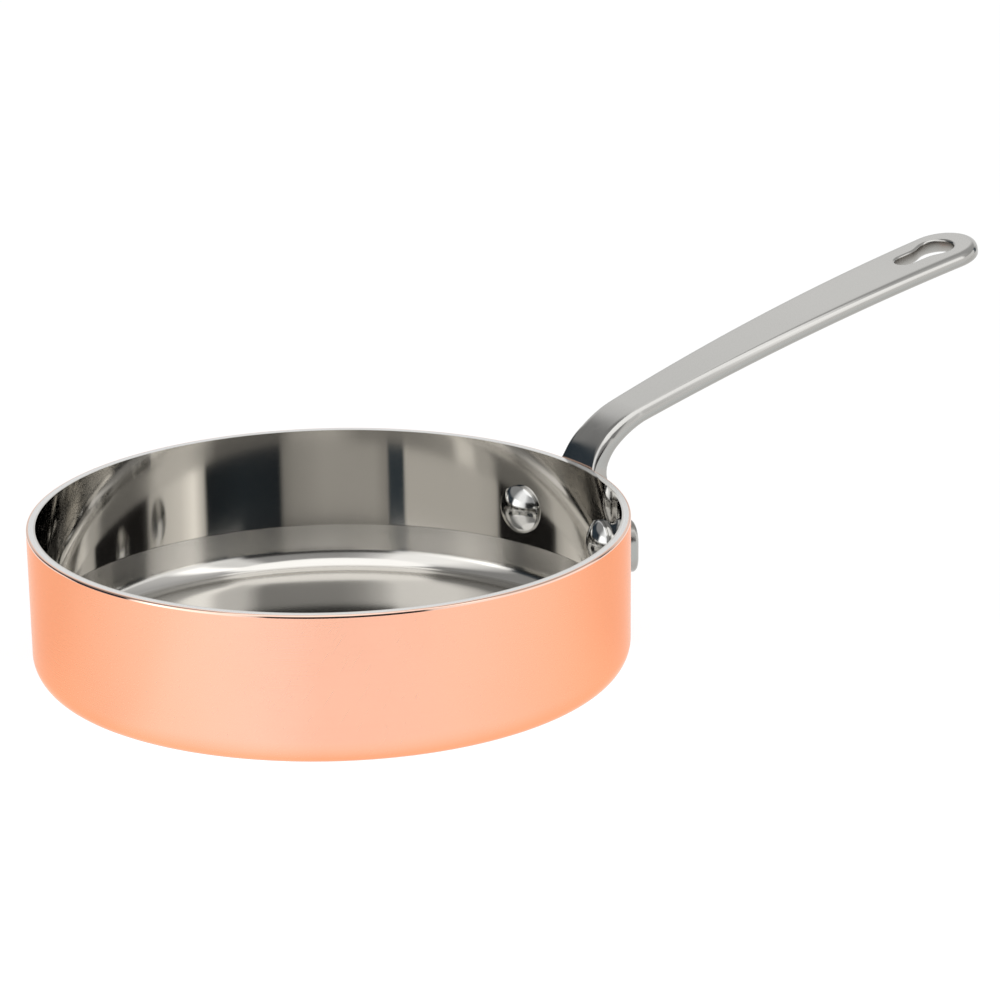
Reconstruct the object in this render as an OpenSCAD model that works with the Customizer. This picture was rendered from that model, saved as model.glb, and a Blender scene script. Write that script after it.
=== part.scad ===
// Shallow frying pan of bonded copper, aluminium and steel, with a cast steel handle on
// two rivets. Sizes are in millimetres. The origin is the middle of the underside, +Z is
// up, and the handle points along +X.

/* [Pan] */
// Outside diameter of the pan at the rim
pan_d = 140; // [120:1:200]
// Height of the pan, from the underside to the rim
pan_h = 36.5; // [33:0.5:60]
// Outside radius between the base and the wall
corner_r = 6.8; // [4:0.1:12]
// How far the wall leans outwards, in degrees
wall_draft = 0.7; // [0:0.1:2]
// Thickness of the copper ply on the outside
copper_t = 0.5; // [0.5:0.1:0.8]
// Thickness of the aluminium ply in the middle
core_t = 1.2; // [0.8:0.1:1.6]
// Thickness of the steel ply on the inside
lining_t = 0.4; // [0.3:0.1:0.8]
// Rounding of the rim's outer edge
rim_edge = 0.4; // [0.1:0.1:0.4]

/* [Rivets] */
// Distance between the two rivets, measured round the wall
rivet_spacing = 35; // [30:0.5:38]
// How far the rivets sit below the rim
rivet_drop = 15.4; // [14:0.1:17]
// Diameter of the rivet shank
rivet_d = 5.6; // [4:0.1:7]
// Diameter of the domed head inside the pan
head_d = 11.8; // [10:0.1:13]
// Height of the dome on that head
head_h = 2.6; // [1.5:0.1:3.5]
// Height of the straight rim under the dome
head_lip = 0.9; // [0.5:0.1:1.5]
// Diameter of the set tail on the bracket
tail_d = 8; // [7.4:0.1:10]
// Height of the set tail
tail_h = 1; // [0.6:0.1:2]

/* [Bracket] */
// Length of the bracket, measured round the wall
bracket_l = 51; // [47:0.5:56]
// Height of the bracket at the rivets
bracket_h = 12.6; // [11:0.1:14]
// Thickness of the bracket
bracket_t = 4.5; // [3:0.1:5]
// Radius of the bracket's corners
bracket_corner = 4.5; // [2:0.1:5.5]
// Radius between the bracket and the neck
neck_fillet = 11; // [6:0.1:13]

/* [Handle] */
// Width of the neck
neck_w = 12.9; // [10:0.1:16]
// How far below the rim the neck starts to lean out
lean_drop = 5; // [4:0.1:8]
// Radius of the bend over the rim, along the upper face
bend_r = 15.3; // [13:0.1:20]
// Slope of the neck after that bend, in degrees
bend_slope = 38; // [32:1:45]
// Radius of the shoulder between neck and grip
shoulder_r = 28.7; // [20:0.1:50]
// Slope of the grip where it starts, in degrees
grip_slope = 17; // [12:0.5:22]
// Radius of the long sweep of the grip
grip_r = 785; // [500:5:2000]
// Length of the grip, from the shoulder to the tip
grip_l = 107.2; // [90:0.5:150]
// Thickness of the grip
grip_t = 3.5; // [3:0.1:5]
// Diameter of the round tip
tip_d = 19.2; // [17:0.1:26]
// Rounding of the edges on the upper face
upper_edge = 2.4; // [1:0.1:2.6]
// Rounding of the edges on the lower face and the bracket
lower_edge = 0.8; // [0.4:0.1:1.2]

/* [Keyhole] */
// Diameter of the wide end
hole_d = 9; // [7.5:0.1:10]
// Width of the narrow end
slot_w = 5.8; // [4.5:0.1:6.5]
// Distance between the centres of the two ends
slot_l = 9; // [8:0.1:14]
// Radius that blends the two ends
hole_blend = 6; // [3:0.1:7]
// Distance from the centre of the wide end to the tip
hole_setback = 10.6; // [9.5:0.1:14]

/* [Hidden] */
// Play between a rivet and its hole
rivet_play = 0.05;
// Play between curved faces that seat on each other
seat_gap = 0.05;
// How far a cut runs past the face that it opens
overrun = 1;
// How far an arc laps over the lines that it joins
arc_lap = 0.001;
// How much of the grip's growth in width comes early
taper_bow_share = 0.35;
// Most of the side that the upper rounding may take
upper_edge_share = 0.9;
// Part of that rounding that is left against the wall, and at the tip
wall_edge_share = 0.1;
tip_edge_share = 0.7;
// Stretches along each part of the handle's outline, and across it
corner_steps = 5;
fillet_steps = 6;
neck_steps = 10;
taper_steps = 10;
tip_steps = 8;
edge_steps = 3;
half_columns = 4;
$fn = 96;

wall_t = copper_t + core_t + lining_t;
pan_r = pan_d / 2;
rivet_z = pan_h - rivet_drop;
rivet_wall_r = wall_r(rivet_z);
rivet_turn = degrees(rivet_spacing / 2 / rivet_wall_r);
wall_slope = 90 - wall_draft;
wall_normal = [sin(wall_slope), -cos(wall_slope)];

// Points along the handle's upper line, as distances from the height of the rivets
corner_s = bracket_h / 2 - bracket_corner;
corner_y = bracket_l / 2 - bracket_corner;
fillet_s = bracket_h / 2 + neck_fillet;
lean_s = (rivet_drop - lean_drop) / sin(wall_slope);
bend_s = lean_s + arc_length(bend_r, wall_slope - bend_slope);
shoulder_s = bend_s + arc_length(shoulder_r, bend_slope - grip_slope);
tip_s = shoulder_s + grip_l;
tip_r = tip_d / 2;
tip_mid_s = tip_s - tip_r;

lean_point = [wall_r(pan_h - lean_drop), pan_h - lean_drop];
bend_point = lean_point + arc_move(bend_r, wall_slope, bend_slope);
shoulder_point = bend_point + arc_move(shoulder_r, bend_slope, grip_slope);

function degrees(radians) = radians * 180 / PI;
function arc_length(r, angle) = r * angle * PI / 180;

// Radius of the wall at a height, for the surface that lies a depth inside the outer one
function wall_r(z, inset = 0) =
    pan_r - (pan_h - z) * tan(wall_draft) - inset / cos(wall_draft);

// Share of the way from one value to another, held between 0 and 1
function ramp(v, from, to) = max(0, min(1, (v - from) / (to - from)));

// Step along an arc on which the slope falls from one angle to another
function arc_move(r, from, to) = r * [sin(from) - sin(to), cos(to) - cos(from)];

// Slope of the handle's upper line: up the wall, over the rim, then out along the grip
function slope(s) =
    s < lean_s ? wall_slope
    : s < bend_s ? wall_slope - degrees((s - lean_s) / bend_r)
    : s < shoulder_s ? bend_slope - degrees((s - bend_s) / shoulder_r)
    : grip_slope - degrees((s - shoulder_s) / grip_r);

// Point of that line, as distance from the pan's axis and height
function line_point(s) =
    s < lean_s ? lean_point + (s - lean_s) * [cos(wall_slope), sin(wall_slope)]
    : s < bend_s ? lean_point + arc_move(bend_r, wall_slope, slope(s))
    : s < shoulder_s ? bend_point + arc_move(shoulder_r, bend_slope, slope(s))
    : shoulder_point + arc_move(grip_r, grip_slope, slope(s));

// Half width of the grip, which grows a little faster near the neck
function grip_half(share) =
    neck_w / 2 + (tip_r - neck_w / 2) * share * (1 + taper_bow_share * (1 - share));

// One side of the handle's outline, laid flat. Each entry holds the distance along the
// upper line, the half width there, and the direction that points out of the metal.
outline = concat(
    [for (side = [-1, 1], i = [0 : corner_steps])
        let (a = 90 * (i / corner_steps + (side - 1) / 2))
        [
            side * corner_s + bracket_corner * sin(a),
            corner_y + bracket_corner * cos(a),
            sin(a),
            cos(a)
        ]],
    [for (i = [0 : fillet_steps]) let (a = 90 * i / fillet_steps)
        [
            fillet_s - neck_fillet * cos(a),
            neck_w / 2 + neck_fillet * (1 - sin(a)),
            cos(a),
            sin(a)
        ]],
    [for (i = [1 : neck_steps])
        [fillet_s + (shoulder_s - fillet_s) * i / neck_steps, neck_w / 2, 0, 1]],
    [for (i = [1 : taper_steps]) let (share = i / taper_steps)
        [shoulder_s + (tip_mid_s - shoulder_s) * share, grip_half(share), 0, 1]],
    [for (i = [1 : tip_steps]) let (a = 90 * i / (tip_steps + 0.5))
        [tip_mid_s + tip_r * sin(a), tip_r * cos(a), sin(a), cos(a)]]
);

function thickness(s) = bracket_t + (grip_t - bracket_t) * ramp(s, lean_s, shoulder_s);
function upper_round(s) =
    min(upper_edge, upper_edge_share * (thickness(s) - lower_edge))
    * max(wall_edge_share, ramp(s, lean_s, bend_s))
    * (1 - (1 - tip_edge_share) * ramp(s, tip_mid_s, tip_s));

// Layers of the skin, from the upper face over its rounded edge to the lower face. Each
// entry says which edge it belongs to and how far round that edge it lies.
layers = concat(
    [for (i = [0 : edge_steps]) ["upper", 90 * i / edge_steps]],
    [for (i = [0 : edge_steps]) ["lower", 90 * i / edge_steps]]
);
function drawn_in(layer, s) =
    layer[0] == "upper" ? upper_round(s) * (1 - sin(layer[1]))
    : lower_edge * (1 - cos(layer[1]));
function depth(layer, s) =
    layer[0] == "upper" ? upper_round(s) * (1 - cos(layer[1]))
    : thickness(s) - lower_edge * (1 - sin(layer[1]));

// Puts a point of the flat outline in place. The bracket wraps round the wall, and the
// wrap fades out along the bend, so that the grip is flat across.
function in_place(s, y, depth) =
    let (
        hug = 1 - ramp(s, lean_s, bend_s),
        start = line_point(s),
        reach = start[0] + depth,
        turn = degrees(y / start[0]),
        out = [sin(slope(s)), -cos(slope(s))],
        p = start + out * (depth - hug * reach * (1 - cos(turn)))
    )
    [p[0], y + hug * (reach * sin(turn) - y), p[1]];

function skin_point(layer, row, column) =
    let (
        entry = outline[row],
        inset = drawn_in(layer, entry[0]),
        across_share = column / half_columns - 1
    )
    in_place(
        entry[0] - inset * entry[2],
        across_share * (entry[1] - inset * entry[3]),
        depth(layer, entry[0])
    );

last_row = len(outline) - 1;
last_column = 2 * half_columns;
face_size = (last_row + 1) * (last_column + 1);

// Places on the edge of a face, once round
edge_walk = concat(
    [for (j = [0 : last_column]) [0, j]],
    [for (i = [1 : last_row]) [i, last_column]],
    [for (j = [last_column - 1 : -1 : 0]) [last_row, j]],
    [for (i = [last_row - 1 : -1 : 1]) [i, 0]]
);
walk_size = len(edge_walk);
last_layer = len(layers) - 1;
lower_start = face_size + (last_layer - 1) * walk_size;

function face_index(row, column) = row * (last_column + 1) + column;

// Index of a point on the walk round a layer
function walk_index(layer, k) =
    let (at = edge_walk[k % walk_size])
    layer == 0 ? face_index(at[0], at[1])
    : layer == last_layer ? lower_start + face_index(at[0], at[1])
    : face_size + (layer - 1) * walk_size + k % walk_size;

// The handle before its holes: two faces of a grid each, joined by the rounded edges
module handle_blank() {
    points = concat(
        [for (i = [0 : last_row], j = [0 : last_column]) skin_point(layers[0], i, j)],
        [for (k = [1 : last_layer - 1], at = edge_walk) skin_point(layers[k], at[0], at[1])],
        [for (i = [0 : last_row], j = [0 : last_column]) skin_point(layers[last_layer], i, j)]
    );
    upper_face = [
        for (i = [0 : last_row - 1], j = [0 : last_column - 1], half = [0, 1])
            let (a = face_index(i, j), b = face_index(i + 1, j + 1))
            half == 0 ? [a, face_index(i, j + 1), b] : [a, b, face_index(i + 1, j)]
    ];
    lower_face = [
        for (triangle = upper_face)
            [for (k = [2 : -1 : 0]) lower_start + triangle[k]]
    ];
    edges = [
        for (layer = [0 : last_layer - 1], k = [0 : walk_size - 1], half = [0, 1])
            let (a = walk_index(layer, k), b = walk_index(layer + 1, k + 1))
            half == 0 ? [a, walk_index(layer + 1, k), b] : [a, b, walk_index(layer, k + 1)]
    ];
    polyhedron(points, concat(upper_face, lower_face, edges));
}

// Half section of the pan, drawn in by the thickness of the plies outside it. The arc
// between base and wall laps over both of them by a hair, so that it crosses them cleanly.
module pan_outline(inset, top = pan_h) {
    r = corner_r - inset;
    corner = [wall_r(inset, inset), inset];
    middle = corner + [-r / tan(90 - wall_slope / 2), r];
    beside = middle + (r + overrun) * wall_normal;
    intersection() {
        polygon([
            [0, inset],
            corner,
            [wall_r(top, inset), top],
            [0, top]
        ]);
        union() {
            polygon([
                [0, inset - overrun],
                [middle[0], inset - overrun],
                middle,
                beside,
                [beside[0] + overrun, top + overrun],
                [0, top + overrun]
            ]);
            translate(middle)
                circle(r + arc_lap);
        }
    }
}

// The corner that is cut away to round the rim's outer edge
module rim_cut() {
    middle = [pan_r - rim_edge / tan(wall_slope / 2), pan_h - rim_edge];
    reach = rim_edge + overrun;
    difference() {
        polygon([
            middle,
            middle + [0, reach],
            middle + [reach, reach],
            middle + reach * wall_normal
        ]);
        translate(middle)
            circle(rim_edge + arc_lap);
    }
}

// Everything inside the wall, or inside a surface that lies a depth within it
module wall_blank(inset) {
    top = pan_h + overrun;
    cylinder(r1 = wall_r(0, inset), r2 = wall_r(top, inset), h = top);
}

// One ply of the pan, spun from its section, with the holes for the rivets
module ply(inset, thick) {
    difference() {
        rotate_extrude()
            difference() {
                pan_outline(inset);
                pan_outline(inset + thick, pan_h + overrun);
                rim_cut();
            }
        rivet_holes();
    }
}

// Turns a shape along +Z so that it points out through the wall at a rivet
module at_rivet(side) {
    rotate([0, 0, side * rivet_turn])
        translate([0, 0, rivet_z])
            rotate([0, 90, 0])
                children();
}

module rivet_holes() {
    for (side = [-1, 1])
        at_rivet(side)
            translate([0, 0, rivet_wall_r - wall_t - overrun])
                cylinder(d = rivet_d + 2 * rivet_play, h = wall_t + bracket_t + 2 * overrun);
}

// A dome of a given width and height, standing on z = 0
module dome(width, height) {
    ball_r = (width * width / 4 + height * height) / (2 * height);
    intersection() {
        translate([0, 0, height - ball_r])
            sphere(ball_r);
        cylinder(d = width, h = height);
    }
}

// A rivet: domed head against the lining, shank through the wall, tail on the bracket
module rivet(side) {
    head_at = rivet_wall_r - wall_t - seat_gap - head_lip;
    tail_at = rivet_wall_r + bracket_t;
    color("#c9ccce") {
        at_rivet(side)
            translate([0, 0, head_at])
                cylinder(d = rivet_d, h = tail_at - head_at + tail_h / 2);
        intersection() {
            at_rivet(side)
                translate([0, 0, head_at])
                    union() {
                        cylinder(d = head_d, h = head_lip + overrun);
                        mirror([0, 0, 1])
                            dome(head_d, head_h);
                    }
            wall_blank(wall_t + seat_gap);
        }
        difference() {
            at_rivet(side)
                translate([0, 0, tail_at - overrun])
                    union() {
                        cylinder(d = tail_d, h = overrun);
                        translate([0, 0, overrun])
                            dome(tail_d, tail_h);
                    }
            wall_blank(-bracket_t - seat_gap);
        }
    }
}

// Outline of the keyhole: a wide end towards the tip, a narrow end towards the pan
module keyhole() {
    hole_r = hole_d / 2;
    slot_r = slot_w / 2;
    blend_y = slot_r + hole_blend;
    blend_x = sqrt(pow(hole_r + hole_blend, 2) - pow(blend_y, 2));
    circle(hole_r);
    translate([-slot_l, 0])
        circle(slot_r);
    translate([-slot_l, -slot_r])
        square([slot_l, slot_w]);
    for (side = [0, 1])
        mirror([0, side])
            difference() {
                polygon([[0, 0], [-blend_x, 0], [-blend_x, blend_y]]);
                translate([-blend_x, blend_y])
                    circle(hole_blend);
            }
}

module copper_shell() {
    color("#f2a67e")
        ply(0, copper_t);
}

module aluminium_core() {
    color("#b9bcc0")
        ply(copper_t, core_t);
}

module steel_lining() {
    color("#d5d8da")
        ply(copper_t + core_t, lining_t);
}

module handle() {
    hole_s = tip_s - hole_setback;
    hole_at = line_point(hole_s);
    color("#bfc2c4")
        difference() {
            handle_blank();
            wall_blank(-seat_gap);
            rivet_holes();
            translate([hole_at[0], 0, hole_at[1]])
                rotate([0, -slope(hole_s), 0])
                    translate([0, 0, -grip_t - overrun])
                        linear_extrude(grip_t + 2 * overrun)
                            keyhole();
        }
}

module left_rivet() {
    rivet(1);
}

module right_rivet() {
    rivet(-1);
}

copper_shell();
aluminium_core();
steel_lining();
handle();
left_rivet();
right_rivet();
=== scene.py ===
# %% [markdown]
# A small copper frying pan with a steel handle
#
# This lesson dresses a CAD model of a frying pan. The real pan is a bonded sheet, copper
# outside, aluminium in the middle and steel inside, drawn into a shallow cup. A cast steel
# handle sits on two rivets. The CAD model says where each piece is. Here every piece is
# made once more with finer curves, and gets the finish of its metal.

# %% Load the frame
import math

import bmesh
import bpy
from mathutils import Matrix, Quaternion, Vector
from mathutils.kdtree import KDTree


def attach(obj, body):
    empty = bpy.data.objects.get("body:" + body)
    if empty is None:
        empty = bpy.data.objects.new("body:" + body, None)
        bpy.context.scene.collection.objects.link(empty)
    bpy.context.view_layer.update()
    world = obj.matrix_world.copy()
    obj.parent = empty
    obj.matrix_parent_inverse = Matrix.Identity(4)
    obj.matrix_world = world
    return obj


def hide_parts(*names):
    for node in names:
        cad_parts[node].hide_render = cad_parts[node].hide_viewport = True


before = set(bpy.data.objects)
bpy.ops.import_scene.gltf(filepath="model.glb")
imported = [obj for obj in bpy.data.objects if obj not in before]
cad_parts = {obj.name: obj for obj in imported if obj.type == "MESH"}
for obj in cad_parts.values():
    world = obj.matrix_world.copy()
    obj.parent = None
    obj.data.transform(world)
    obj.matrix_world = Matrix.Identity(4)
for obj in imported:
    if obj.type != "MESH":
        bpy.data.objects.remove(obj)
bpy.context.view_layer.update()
print("CAD nodes:", sorted(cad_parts))

# %% [markdown]
# The camera comes first, because it decides which side of each piece matters most. It is
# far away with a long lens, like in a product photograph: lines stay nearly parallel, and
# the round rim becomes a clean ellipse. It looks down on the pan from the side.

# %% Camera
CAMERA_PLACE = Vector((-0.712035, -1.111241, 0.467065))
CAMERA_TARGET = Vector((0.0394, -0.012769, 0.036157))
CAMERA_ROLL = math.radians(-1.006)
CAMERA_LENS = 215.749
SENSOR_WIDTH = 36

camera_data = bpy.data.cameras.new("camera")
camera_data.lens = CAMERA_LENS
camera_data.sensor_width = SENSOR_WIDTH
camera = bpy.data.objects.new("camera", camera_data)
bpy.context.scene.collection.objects.link(camera)
camera.location = CAMERA_PLACE
camera.rotation_mode = "QUATERNION"
aim = (CAMERA_TARGET - CAMERA_PLACE).to_track_quat("-Z", "Y")
camera.rotation_quaternion = aim @ Quaternion((0, 0, 1), CAMERA_ROLL)
bpy.context.scene.camera = camera
print("camera distance:", round((CAMERA_TARGET - CAMERA_PLACE).length, 3), "m")

# %% [markdown]
# The sizes are the CAD model's, written once, in metres. The wall leans outwards a little,
# so its radius depends on the height. Later cells ask wall_radius for it wherever
# something touches the wall, so the pieces keep seating on each other.

# %% Sizes of the pan
MM = 0.001
TINY = MM / 1000
PAN_RADIUS = 70 * MM
PAN_HEIGHT = 36.5 * MM
CORNER_RADIUS = 6.8 * MM
WALL_LEAN = math.radians(0.7)
COPPER_THICK = 0.5 * MM
CORE_THICK = 1.2 * MM
LINING_THICK = 0.4 * MM
RIM_EDGE = 0.4 * MM
WALL_THICK = COPPER_THICK + CORE_THICK + LINING_THICK
SEAT_GAP = 0.05 * MM


def wall_radius(height, inset=0.0):
    """Radius of the wall at a height, for the surface that lies a depth inside the outer one."""
    return PAN_RADIUS - (PAN_HEIGHT - height) * math.tan(WALL_LEAN) - inset / math.cos(WALL_LEAN)


print("wall radius at the base and the rim:", wall_radius(0), wall_radius(PAN_HEIGHT))

# %% [markdown]
# Sheet that is drawn or spun is round, so half a section says everything about it. The
# section is drawn by extruding one point from place to place, as with the mouse, and Spin
# turns it round the axis. Arcs get many short steps, and straight stretches get a point
# close to each end: shading that blends over a long face would bend the reflections.

# %% Helpers for turned pieces
END_SHARE = 0.02


def start_point(name):
    """A new piece that is one selected point at the origin, in edit mode."""
    bpy.ops.object.select_all(action="DESELECT")
    bpy.ops.mesh.primitive_plane_add(size=MM)
    piece = bpy.context.object
    piece.name = name
    piece.data.name = name
    bpy.ops.object.mode_set(mode="EDIT")
    bpy.ops.mesh.select_mode(type="VERT")
    bpy.ops.mesh.select_all(action="SELECT")
    bpy.ops.mesh.merge(type="CENTER")
    return piece


def draw_section(places):
    """Moves the selected point to the first place and extrudes it through the others."""
    here = Vector((0, 0, 0))
    for number, place in enumerate(places):
        step = Vector((place[0], 0, place[1])) - here
        if number == 0:
            bpy.ops.transform.translate(value=step)
        else:
            bpy.ops.mesh.extrude_vertices_move(TRANSFORM_OT_translate={"value": step})
        here = here + step


def arc(middle, radius, start, end, steps):
    """Points along an arc of the section, with angles in radians from the outward direction."""
    angles = [start + (end - start) * i / steps for i in range(steps + 1)]
    return [(middle[0] + radius * math.cos(a), middle[1] + radius * math.sin(a)) for a in angles]


def straight(a, b):
    """The two points close to the ends of a straight stretch."""
    return [
        (a[0] + (b[0] - a[0]) * share, a[1] + (b[1] - a[1]) * share)
        for share in (END_SHARE, 1 - END_SHARE)
    ]


def spin_section(steps, axis):
    """Turns the section round the axis into a closed skin, and leaves edit mode."""
    bpy.ops.mesh.select_all(action="SELECT")
    bpy.ops.mesh.spin(steps=steps, angle=2 * math.pi, center=(0, 0, 0), axis=axis)
    bpy.ops.mesh.select_all(action="SELECT")
    bpy.ops.mesh.remove_doubles(threshold=TINY)
    bpy.ops.mesh.normals_make_consistent(inside=False)
    bpy.ops.object.mode_set(mode="OBJECT")


def keep_places(piece, places):
    """Stores a place for each point as an attribute, which the material reads as coordinates."""
    attribute = piece.data.attributes.new("place", "FLOAT_VECTOR", "POINT")
    attribute.data.foreach_set("vector", [value for place in places for value in place])


def report(piece):
    """Prints the size of a finished piece and how many triangles it has."""
    piece.data.calc_loop_triangles()
    size = [round(v / MM, 2) for v in piece.dimensions]
    print(piece.name, "mm:", size, "triangles:", len(piece.data.loop_triangles))


# %% [markdown]
# Each ply is a cup inside the next one. The copper is half a millimetre thick and rounded
# at the rim. The aluminium shows only as a ring in the rim. The steel lining is what the
# food touches. Each is a closed skin of its own, so the rim shows three real edges, and
# the plies meet exactly, because all use the same section points.

# %% The three plies
CUP_STEPS = 384
CORNER_STEPS = 20
RIM_STEPS = 6
CUP_CREASE = math.radians(35)


def cup_line(inset, top_edge=0.0):
    """Half section of one surface of the pan, from the axis up to the rim."""
    radius = CORNER_RADIUS - inset
    reach = radius / math.tan(math.pi / 4 + WALL_LEAN / 2)
    middle = (wall_radius(inset, inset) - reach, inset + radius)
    corner = arc(middle, radius, -math.pi / 2, -WALL_LEAN, CORNER_STEPS)
    if top_edge:
        drop = top_edge * math.tan(math.pi / 4 + WALL_LEAN / 2)
        edge_middle = (PAN_RADIUS - drop, PAN_HEIGHT - top_edge)
        edge = arc(edge_middle, top_edge, -WALL_LEAN, math.pi / 2, RIM_STEPS)
    else:
        edge = [(wall_radius(PAN_HEIGHT, inset), PAN_HEIGHT)]
    line = [(0, inset)] + straight((0, inset), corner[0]) + corner
    return line + straight(corner[-1], edge[0]) + edge


def make_ply(name, node, inset, thick, top_edge=0.0):
    """One ply of the pan: a closed skin between two surfaces."""
    outer = cup_line(inset, top_edge)
    inner = cup_line(inset + thick)
    piece = start_point(name)
    draw_section(outer + inner[::-1])
    spin_section(CUP_STEPS, (0, 0, 1))
    bpy.ops.object.shade_smooth_by_angle(angle=CUP_CREASE)
    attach(piece, "root")
    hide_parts(node)
    report(piece)
    return piece


copper = make_ply("copper_cup", "copper_shell", 0, COPPER_THICK, RIM_EDGE)
core = make_ply("aluminium_cup", "aluminium_core", COPPER_THICK, CORE_THICK)
lining = make_ply("steel_cup", "steel_lining", COPPER_THICK + CORE_THICK, LINING_THICK)

# %% [markdown]
# A rivet is a short bar. One end has a factory-made domed head, which stays inside the
# pan. The other end is hammered into a low dome on the handle's bracket. Here the rivet is
# turned round its own length, which points out through the wall, and then put in its
# place. The head's edge sits on the curved wall, so its last ring follows the wall.

# %% Sizes of the rivets
RIVET_DROP = 15.4 * MM
RIVET_SPACING = 35 * MM
RIVET_HEIGHT = PAN_HEIGHT - RIVET_DROP
RIVET_TURN = RIVET_SPACING / 2 / wall_radius(RIVET_HEIGHT)
RIVET_RADIUS = 2.8 * MM
HEAD_RADIUS = 5.9 * MM
HEAD_DOME = 2.6 * MM
HEAD_LIP = 0.9 * MM
HEAD_EDGE = 0.35 * MM
HEAD_EDGE_DROP_SHARE = 0.25
TAIL_RADIUS = 4 * MM
TAIL_DOME = 1 * MM
BRACKET_THICK = 4.5 * MM
DOME_STEPS = 28
RIVET_STEPS = 96
CREASE = math.radians(50)
SEAT_REACH = MM / 100


def dome(radius, height):
    """Points of a dome from its top to its edge, as height over the edge and radius."""
    ball = (radius * radius + height * height) / (2 * height)
    half = math.asin(radius / ball)
    angles = [half * i / DOME_STEPS for i in range(DOME_STEPS + 1)]
    return [(height - ball + ball * math.cos(a), ball * math.sin(a)) for a in angles]


# %% The rivets
def rivet_section():
    """Half section of the rivet: distance from the pan's axis, and radius."""
    wall = wall_radius(RIVET_HEIGHT)
    base = wall - WALL_THICK - SEAT_GAP
    edge_at = base - HEAD_LIP
    tail_at = wall + BRACKET_THICK
    dome_radius = HEAD_RADIUS - HEAD_EDGE / 2
    head = [(edge_at - rise, r) for rise, r in dome(dome_radius, HEAD_DOME)]
    edge_middle = edge_at + HEAD_EDGE * (1 + HEAD_EDGE_DROP_SHARE)
    edge = [
        (edge_middle - HEAD_EDGE * math.cos(a), dome_radius + HEAD_EDGE / 2 * math.sin(a))
        for a in (math.pi / 6, math.pi / 3, math.pi / 2)
    ]
    side = [(base - HEAD_LIP / 4, HEAD_RADIUS), (base, HEAD_RADIUS)]
    shank = [(base, RIVET_RADIUS), (tail_at, RIVET_RADIUS), (tail_at, TAIL_RADIUS)]
    tail = [(tail_at + rise, r) for rise, r in dome(TAIL_RADIUS, TAIL_DOME)]
    return head + edge + side + shank + tail[::-1]


def seat_ends(piece):
    """Lets the underside of head and tail follow the round wall and bracket."""
    wall = wall_radius(RIVET_HEIGHT)
    base = wall - WALL_THICK - SEAT_GAP
    for vertex in piece.data.vertices:
        x, y, z = vertex.co
        if abs(x - base) < SEAT_REACH:
            vertex.co.x = math.sqrt(wall_radius(z, WALL_THICK + SEAT_GAP) ** 2 - y * y)
        elif abs(x - wall - BRACKET_THICK) < SEAT_REACH:
            vertex.co.x = math.sqrt((wall_radius(z) + BRACKET_THICK + SEAT_GAP) ** 2 - y * y)


def make_rivet(name, node, side):
    """One rivet in its place. side is 1 for the left one and -1 for the right one."""
    piece = start_point(name)
    draw_section(rivet_section())
    spin_section(RIVET_STEPS, (1, 0, 0))
    keep_places(piece, [tuple(vertex.co) for vertex in piece.data.vertices])
    bpy.ops.object.mode_set(mode="EDIT")
    bpy.ops.transform.translate(value=(0, 0, RIVET_HEIGHT))
    bpy.ops.object.mode_set(mode="OBJECT")
    seat_ends(piece)
    bpy.ops.object.mode_set(mode="EDIT")
    bpy.ops.transform.rotate(
        value=-side * RIVET_TURN, orient_axis="Z", orient_type="GLOBAL", center_override=(0, 0, 0)
    )
    bpy.ops.object.mode_set(mode="OBJECT")
    bpy.ops.object.shade_smooth_by_angle(angle=CREASE)
    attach(piece, "root")
    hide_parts(node)
    report(piece)
    return piece


left_rivet = make_rivet("rivet_left", "left_rivet", 1)
right_rivet = make_rivet("rivet_right", "right_rivet", -1)

# %% [markdown]
# The handle is one casting. Its upper side follows a line that runs up the wall, bends
# over the rim and sweeps out to the tip. The line is three arcs that meet smoothly, and a
# place on the handle is told by its distance along the line, its distance from the middle
# and its depth under the upper face. So the handle can be modelled flat, like a pattern
# cut from sheet, and be laid along the line at the end.

# %% Line of the handle
LEAN_DROP = 5 * MM
BEND_RADIUS = 15.3 * MM
BEND_SLOPE = math.radians(38)
SHOULDER_RADIUS = 28.7 * MM
GRIP_SLOPE = math.radians(17)
GRIP_RADIUS = 785 * MM
GRIP_LENGTH = 107.2 * MM
WALL_SLOPE = math.pi / 2 - WALL_LEAN

lean_s = (RIVET_DROP - LEAN_DROP) / math.sin(WALL_SLOPE)
bend_s = lean_s + (WALL_SLOPE - BEND_SLOPE) * BEND_RADIUS
shoulder_s = bend_s + (BEND_SLOPE - GRIP_SLOPE) * SHOULDER_RADIUS
tip_s = shoulder_s + GRIP_LENGTH


def arc_step(radius, start, end):
    """Step along an arc on which the slope falls from one angle to another."""
    ahead = radius * (math.sin(start) - math.sin(end))
    return Vector((ahead, radius * (math.cos(end) - math.cos(start))))


lean_point = Vector((wall_radius(PAN_HEIGHT - LEAN_DROP), PAN_HEIGHT - LEAN_DROP))
bend_point = lean_point + arc_step(BEND_RADIUS, WALL_SLOPE, BEND_SLOPE)
shoulder_point = bend_point + arc_step(SHOULDER_RADIUS, BEND_SLOPE, GRIP_SLOPE)


def slope(s):
    """Slope of the line at a distance from the height of the rivets."""
    if s < lean_s:
        return WALL_SLOPE
    if s < bend_s:
        return WALL_SLOPE - (s - lean_s) / BEND_RADIUS
    if s < shoulder_s:
        return BEND_SLOPE - (s - bend_s) / SHOULDER_RADIUS
    return GRIP_SLOPE - (s - shoulder_s) / GRIP_RADIUS


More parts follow.
